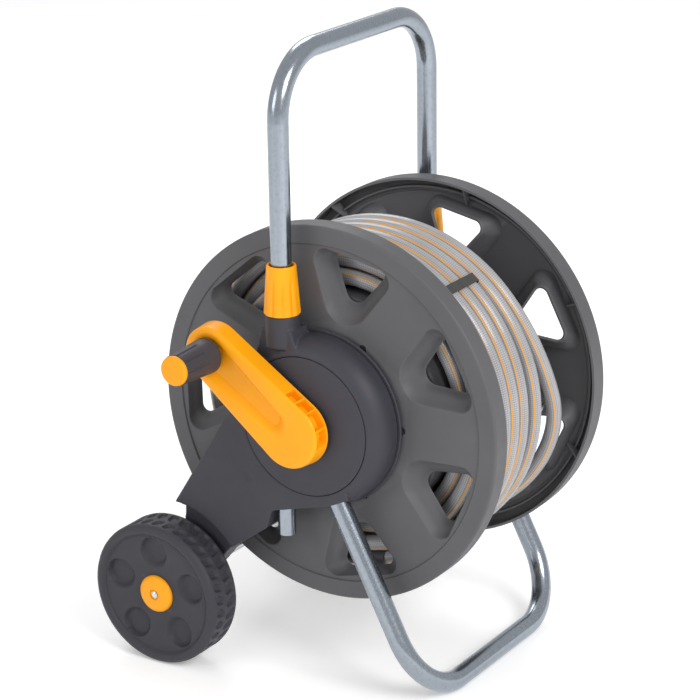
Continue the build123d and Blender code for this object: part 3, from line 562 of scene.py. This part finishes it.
def add_flange(side):
    """One reel flange: a flat web with dished windows, a raised band and a deep rim."""
    way = SIDES[side]
    bm = bmesh.new()
    hub = add_loop(bm, circle(way * FLANGE_FACE, 19.0, 96))
    rim_profile = [(FLANGE_FACE, BAND_RADIUS - 0.8), (FLANGE_FACE, BAND_RADIUS - 0.4),
                   (FLANGE_FACE + 0.3, BAND_RADIUS - 0.1), (BAND_FACE - 0.4, BAND_RADIUS + 0.3),
                   (BAND_FACE, BAND_RADIUS + 0.8), (BAND_FACE, BAND_RADIUS + 2.0),
                   (BAND_FACE, FLANGE_RADIUS - 3.6), (BAND_FACE - 0.1, FLANGE_RADIUS - 2.2),
                   (BAND_FACE - 0.7, FLANGE_RADIUS - 0.9), (BAND_FACE - 1.8, FLANGE_RADIUS - 0.15),
                   (BAND_FACE - 3.2, FLANGE_RADIUS), (RIM_EDGE + 1.5, FLANGE_RADIUS),
                   (RIM_EDGE, FLANGE_RADIUS)]
    rim = [add_loop(bm, circle(way * x, radius, 420)) for x, radius in rim_profile]
    windows = []
    for k in range(WINDOW_COUNT):
        turn = math.radians(WINDOW_ANGLE) + TAU * k / WINDOW_COUNT
        windows.append([add_loop(bm, [(way * (FLANGE_FACE - depth), y, z) for depth, y, z in loop])
                        for loop in window_loops(turn)])
    edges = loop_edges(bm, hub) + loop_edges(bm, rim[0])
    for loops in windows:
        edges += loop_edges(bm, loops[0])
    bmesh.ops.triangle_fill(bm, edges=edges, use_beauty=True)
    for loops in [rim, *windows]:
        for first, second in zip(loops, loops[1:]):
            bridge(bm, first, second)
    bmesh.ops.recalc_face_normals(bm, faces=bm.faces[:])
    bm.faces.ensure_lookup_table()
    flat = max(bm.faces, key=lambda face: face.calc_area())
    if flat.normal.x * way < 0:
        bmesh.ops.reverse_faces(bm, faces=bm.faces[:])
    piece = add_piece(f"{side}_reel_flange", bm, "drum", "flange_plastic", [f"{side}_flange"], orient=False)
    piece.modifiers.clear()
    wall = piece.modifiers.new("wall", "SOLIDIFY")
    wall.thickness = SKIN * MM
    wall.offset = -1
    wall.use_even_offset = True
    bpy.context.view_layer.update()
    solid = bpy.data.meshes.new_from_object(piece.evaluated_get(bpy.context.evaluated_depsgraph_get()))
    piece.modifiers.clear()
    bm = bmesh.new()
    bm.from_mesh(solid)
    back = FLANGE_FACE - SKIN
    step_ring = [(back + 0.3, 190.6), (back - 4.2, 190.6), (back - 4.8, 191.0), (back - 4.8, 193.0),
                 (back - 4.2, 193.4), (back + 0.3, 193.4)]
    loft(bm, [circle(way * x, radius, 240) for x, radius in step_ring], closed=True)
    for k in range(WINDOW_COUNT):
        turn = math.radians(WINDOW_ANGLE) + TAU * k / WINDOW_COUNT
        add_rim_rib(bm, way, turn, back)
    bmesh.ops.recalc_face_normals(bm, faces=bm.faces[:])
    bm.to_mesh(solid)
    bm.free()
    piece.data = solid
    solid.shade_smooth()
    solid.set_sharp_from_angle(angle=math.radians(34))
    piece.modifiers.new("even_shading", "WEIGHTED_NORMAL").keep_sharp = True


def add_rim_rib(bm, way, turn, back):
    """A thin rib inside the rim, in line with a window."""
    cos, sin = math.cos(turn), math.sin(turn)
    half = 0.9
    loops = []
    for x, inner, outer in ((back + 0.3, 181.0, 203.0), (back - 3.0, 181.0, 203.0),
                            (RIM_EDGE + 2.0, 200.5, 203.0)):
        corners = ((inner, -half), (outer, -half), (outer, half), (inner, half))
        loops.append([(way * x, along * cos - across * sin, along * sin + across * cos)
                      for along, across in corners])
    loft(bm, loops, start_cap=True, end_cap=True)


# ---- Side covers, hub caps and collars -----------------------------------------------------------
def add_hub_cap(side):
    """The slightly domed round plate that fills the cover's opening."""
    way = SIDES[side]
    profile = [(156.4, 72.0), (156.4, 74.6), (157.0, 75.2), (158.2, 75.2), (158.9, 74.9), (159.2, 74.2),
               (159.5, 72.0), (160.3, 67.0), (161.5, 60.0), (162.8, 50.0), (163.7, 40.0), (164.2, 30.0),
               (164.4, 22.0), (164.3, 20.2), (163.6, 19.4), (161.8, 19.0), (161.2, 24.0), (158.0, 60.0)]
    bm = bmesh.new()
    loft(bm, [circle(way * x, radius, 180) for x, radius in profile], closed=True)
    add_piece(f"{side}_hub_plate", bm, "base", "cover_plastic", [f"{side}_hub_cap"])


TUBE_X = 144.8
HANDLE_Y = 32.9


def add_collar(side):
    """The clamping nut: a tapered sleeve with broad flutes that fade out at the top."""
    count, flutes, flute_depth = 200, 10, 1.5
    inner_radius, low, high = 16.2, 114.6, 167.0
    bm = bmesh.new()
    outline = [(low, 17.6, 0.0), (low, 18.2, 0.3), (low + 0.4, 18.9, 0.7), (low + 1.4, 19.2, 1.0)]
    for step in range(1, 13):
        share = step / 12
        outline.append((low + 1.4 + share * 46.0, 19.2 - 3.4 * share, 1.0 - smooth((share - 0.55) / 0.4)))
    outline += [(high - 3.0, 15.75, 0.0), (high - 1.2, 15.5, 0.0), (high - 0.3, 15.1, 0.0),
                (high, 14.4, 0.0), (high - 0.2, 13.2, 0.0), (high - 1.0, 12.4, 0.0),
                (high - 4.0, 12.2, 0.0)]
    loops = []
    for z, radius, share in outline:
        loop = []
        for k in range(count):
            turn = TAU * k / count
            wave = abs(math.sin(turn * flutes / 2))
            lift = radius - flute_depth * share * (1 - wave) ** 1.6
            loop.append((SIDES[side] * TUBE_X + lift * math.cos(turn), HANDLE_Y + lift * math.sin(turn), z))
        loops.append(loop)
    x = SIDES[side] * TUBE_X
    loops.append(upright_circle(14.0, high - 6.5, count, x, HANDLE_Y))
    loops.append(upright_circle(inner_radius, high - 26.0, count, x, HANDLE_Y))
    loops.append(upright_circle(inner_radius, low + 0.8, count, x, HANDLE_Y))
    loft(bm, loops, closed=True)
    add_piece(f"{side}_clamp_collar", bm, f"collar_{side}", "yellow_plastic", [f"{side}_collar"], sharp=60)


# ---- Crank ---------------------------------------------------------------------------------------
CRANK_REACH = 119.7
CRANK_TURN = math.radians(36.7)
CRANK_Y = CRANK_REACH * math.cos(CRANK_TURN)
CRANK_Z = CRANK_REACH * math.sin(CRANK_TURN)
CRANK_FACE = 191.0
TROUGH_DEPTH = 9.0


def teardrop(hub_at, hub_radius, end_at, end_radius, count=640):
    """Two arcs and the straight sides between them, as (along the arm, across it, outward) points.
    Each stretch gets the same number of points whatever the radii, so outlines match."""
    reach = end_at - hub_at
    lean = math.asin((hub_radius - end_radius) / reach)
    quarter = count // 4
    points = []

    def arc(centre, radius, start, end):
        for k in range(quarter):
            turn = start + (end - start) * k / quarter
            points.append((centre + radius * math.cos(turn), radius * math.sin(turn),
                           math.cos(turn), math.sin(turn)))

    def side(start, end, turn):
        for k in range(quarter):
            share = k / quarter
            centre = start[0] + (end[0] - start[0]) * share
            radius = start[1] + (end[1] - start[1]) * share
            points.append((centre + radius * math.cos(turn), radius * math.sin(turn),
                           math.cos(turn), math.sin(turn)))

    high = math.pi / 2 - lean
    arc(end_at, end_radius, -high, high)
    side((end_at, end_radius), (hub_at, hub_radius), high)
    arc(hub_at, hub_radius, high, TAU - high)
    side((hub_at, hub_radius), (end_at, end_radius), -high)
    return points


# Where each pocket starts and ends along the arm's outline, from the start of the hub's arc.
POCKETS = ((-26.0, -13.5), (-11.0, 2.5), (5.0, 24.0), (26.6, 44.0))


def pocket_depth(travel, x):
    """How far the crank's side wall is pushed in at a place along its outline."""
    low, high, depth, slope = 171.4, 187.2, 9.0, 0.5
    for start, end in POCKETS:
        inside = min(travel - start, end - travel, x - low, high - x)
        if inside > 0:
            return depth * min(1.0, inside / slope)
    return 0.0


def add_crank():
    """The crank arm: a tapered block with rounded edges, a long trough and pockets at its hub end."""
    hub_radius, end_radius = 37.2, 31.0
    wall = [(169.0, -1.0), (169.3, -0.3), (170.0, 0.0)]
    wall += [(x, -0.09 * (x - 170.0)) for x in np.arange(170.9, 187.9, 0.6)]
    wall += [(188.4, -1.75), (189.4, -2.3), (190.2, -3.1), (190.75, -4.2), (191.0, -5.6)]
    loops = []
    for x, grow in wall:
        outline = teardrop(0.0, hub_radius + grow, CRANK_REACH, end_radius + grow)
        hub_start = len(outline) // 2
        travel = 0.0
        spans = [0.0]
        for k in range(1, len(outline)):
            travel += math.dist(outline[k][:2], outline[k - 1][:2])
            spans.append(travel)
        loop = []
        for k, (along, across, out_along, out_across) in enumerate(outline):
            push = pocket_depth(spans[k] - spans[hub_start], x)
            loop.append((x, along - push * out_along, across - push * out_across))
        loops.append(loop)
    rim = loops[-1]
    trough_edge = teardrop(18.0, 15.0, CRANK_REACH - 1.0, 23.0)
    trough_floor = teardrop(27.0, 4.0, CRANK_REACH - 2.0, 9.5)
    for share in (0.25, 0.5, 0.75, 1.0):
        loops.append([(CRANK_FACE + 0.25 * math.sin(math.pi * share),
                       r[1] + (t[0] - r[1]) * share, r[2] + (t[1] - r[2]) * share)
                      for r, t in zip(rim, trough_edge)])
    for step in range(1, 9):
        share = step / 8
        sunk = CRANK_FACE - TROUGH_DEPTH * smooth(share)
        loops.append([(sunk, e[0] + (f[0] - e[0]) * share, e[1] + (f[1] - e[1]) * share)
                      for e, f in zip(trough_edge, trough_floor)])
    cos, sin = math.cos(CRANK_TURN), math.sin(CRANK_TURN)
    turned = [[(-x, along * cos - across * sin, along * sin + across * cos) for x, along, across in loop]
              for loop in loops]
    inner = [(170.0, -3.2), (184.0, -4.6)]
    hollow = []
    for x, grow in inner:
        hollow.append([(-x, p[0] * cos - p[1] * sin, p[0] * sin + p[1] * cos)
                       for p in teardrop(0.0, hub_radius - 7.2 + grow, CRANK_REACH, end_radius - 7.2 + grow)])
    bm = bmesh.new()
    loft(bm, list(reversed(hollow)) + turned, start_cap=True, end_cap=True)
    add_piece("crank", bm, "drum", "yellow_plastic", ["crank_arm"], sharp=40)


def add_grip():
    """The turning grip with long grooves, and its yellow end cap."""
    count, grooves = 216, 9
    outline = [(192.0, 17.6), (192.2, 18.4), (193.0, 19.0), (194.4, 19.2)]
    outline += [(194.4 + step, 19.2 - 2.8 * step / 52.0) for step in np.arange(2.0, 51.0, 1.4)]
    outline += [(246.2, 16.5), (246.8, 16.3), (247.0, 15.9), (247.0, 15.0)]
    loops = []
    for x, radius in outline:
        loop = []
        for k in range(count):
            turn = TAU * (k + 0.5) / count
            off = (turn * grooves / TAU) % 1.0 - 0.5
            aside = off * TAU / grooves * radius
            beyond = max(0.0, 214.0 - x)
            inside = 1.7 - math.hypot(aside, beyond)
            cut = 1.15 * smooth(inside / 1.3)
            lift = radius - cut
            loop.append((-x, CRANK_Y + lift * math.cos(turn), CRANK_Z + lift * math.sin(turn)))
        loops.append(loop)
    loops.append(circle(-246.6, 14.6, count, CRANK_Y, CRANK_Z))
    loops.append(circle(-240.0, 10.0, count, CRANK_Y, CRANK_Z))
    loops.append(circle(-236.5, 6.0, count, CRANK_Y, CRANK_Z))
    loops.append(circle(-193.0, 6.0, count, CRANK_Y, CRANK_Z))
    loops.append(circle(-192.0, 12.0, count, CRANK_Y, CRANK_Z))
    bm = bmesh.new()
    loft(bm, loops, closed=True)
    add_piece("grip", bm, "grip", "grip_plastic", ["crank_grip"], sharp=50)
    profile = [(246.7, 10.0), (246.7, 15.4), (247.6, 15.9), (249.2, 15.9), (250.6, 15.4), (251.4, 14.4),
               (251.8, 12.6), (252.0, 9.0), (252.0, 4.0)]
    bm = bmesh.new()
    loft(bm, [circle(-x, radius, 96, CRANK_Y, CRANK_Z) for x, radius in profile],
         start_cap=True, end_cap=True)
    add_piece("grip_end", bm, "grip", "yellow_plastic", ["grip_cap"], sharp=50)


# ---- Wheels --------------------------------------------------------------------------------------
WHEEL_Y, WHEEL_Z = 175.4, -216.5
WHEEL_RADIUS = 80.4
DIMPLE_TURN = math.radians(16.7)


def dimple(radius, turn):
    """Depth of the five round dimples in the wheel's face: steep at the rim, sloped towards the hub."""
    nearest = round((turn - DIMPLE_TURN) / (TAU / 5)) * TAU / 5 + DIMPLE_TURN
    along, across = radius * math.cos(turn - nearest), radius * math.sin(turn - nearest)
    from_floor = math.hypot(along - 51.5, across) - 13.2
    from_mouth = math.hypot(along - 47.6, across) - 18.2
    if from_mouth >= 0:
        return 0.0
    if from_floor <= 0:
        return 5.6
    return 5.6 * smooth(from_mouth / (from_mouth - from_floor))


def tread_cut(x, turn):
    """Depth of the tread's two staggered rows of rounded, slanted pockets."""
    pockets, depth = 34, 2.7
    pitch = TAU * WHEEL_RADIUS / pockets
    deepest = 0.0
    for row_x, half_width, shift, slant in ((183.6, 7.2, 0.0, 0.22), (165.0, 8.4, 0.5, -0.22)):
        along = turn * WHEEL_RADIUS + slant * (x - row_x) + shift * pitch
        off = (along / pitch) % 1.0 - 0.5
        reach = abs(off * pitch) / 5.3
        aside = abs(x - row_x) / half_width
        inside = 1.0 - (reach ** 3 + aside ** 3) ** (1 / 3)
        deepest = max(deepest, depth * smooth(inside / 0.34))
    return deepest


def add_wheel(side):
    """A moulded wheel: bead, dimpled face, treaded rim and a ribbed back."""
    way = SIDES[side]
    count = 476
    face = [(190.2, 12.0), (190.2, 20.0), (190.6, 24.0)]
    face += [(190.6 + 2.6 * smooth((radius - 24.0) / 40.0), radius) for radius in np.arange(25.5, 66.0, 1.25)]
    bead = [(193.3, 66.6), (193.0, 67.4), (193.5, 68.2), (195.2, 69.3), (196.5, 70.8), (197.1, 72.6),
            (196.9, 74.6), (195.9, 76.8), (194.2, 78.7), (192.4, 79.8), (190.8, 80.3)]
    tread = [(x, WHEEL_RADIUS) for x in np.arange(190.0, 156.4, -0.85)]
    inner = [(155.6, 80.2), (153.6, 79.2), (152.0, 77.2), (151.3, 74.8), (151.6, 72.8), (153.0, 71.6),
             (172.0, 70.4), (180.0, 69.0), (181.6, 66.0), (181.6, 30.0), (181.0, 17.0), (180.0, 14.6),
             (152.6, 14.0), (151.4, 13.0), (151.4, 9.0), (152.0, 8.4), (189.0, 8.4)]
    loops = []
    for x, radius in face + bead + tread + inner:
        loop = []
        for k in range(count):
            turn = TAU * k / count
            sunk_x, sunk_radius = x, radius
            if (x, radius) in face and radius > 25:
                sunk_x = x - dimple(radius, turn)
            elif (x, radius) in tread:
                sunk_radius = radius - tread_cut(x, turn)
            loop.append((way * sunk_x, WHEEL_Y + sunk_radius * math.cos(turn),
                         WHEEL_Z + sunk_radius * math.sin(turn)))
        loops.append(loop)
    bm = bmesh.new()
    loft(bm, loops, closed=True)
    for k in range(10):
        turn = TAU * k / 10 + 0.1
        cos, sin = math.cos(turn), math.sin(turn)
        rib = []
        for x, out_radius in ((182.0, 69.8), (170.0, 70.6), (156.5, 71.4)):
            corners = ((13.0, -1.2), (out_radius, -1.2), (out_radius, 1.2), (13.0, 1.2))
            rib.append([(way * x, WHEEL_Y + a * cos - b * sin, WHEEL_Z + a * sin + b * cos)
                        for a, b in corners])
        loft(bm, rib, start_cap=True, end_cap=True)
    add_piece(f"{side}_road_wheel", bm, f"wheel_{side}", "wheel_plastic", [f"{side}_wheel"], sharp=50)


def add_wheel_cap(side):
    """The yellow hub button, with a washer step round its screw."""
    way = SIDES[side]
    profile = [(187.9, 20.0), (189.4, 21.0), (191.6, 21.0), (193.2, 20.4), (194.6, 18.8), (195.6, 16.0),
               (196.2, 12.0), (196.5, 8.6), (196.5, 6.6), (195.9, 6.0), (194.6, 5.8), (194.4, 4.6)]
    bm = bmesh.new()
    loft(bm, [circle(way * x, radius, 120, WHEEL_Y, WHEEL_Z) for x, radius in profile],
         start_cap=True, end_cap=True)
    add_piece(f"{side}_hub_button", bm, "base", "yellow_plastic", [f"{side}_wheel_cap"], sharp=50)


# ---- The scene -----------------------------------------------------------------------------------
add_camera()
add_stage()
paint_cad_nodes()
hose, hose_path = add_hose()
strap = add_strap()
for side_name in SIDES:
    add_flange(side_name)
    settled(f"{side_name}_side_cover", 1.1, 5, f"{side_name}_outer_cover", "base", "cover_plastic")
    settled(f"{side_name}_side_frame", 1.3, 4, f"{side_name}_inner_frame", "base", "cover_plastic")
    add_hub_cap(side_name)
    add_collar(side_name)
    add_wheel(side_name)
    add_wheel_cap(side_name)
add_crank()
add_grip()
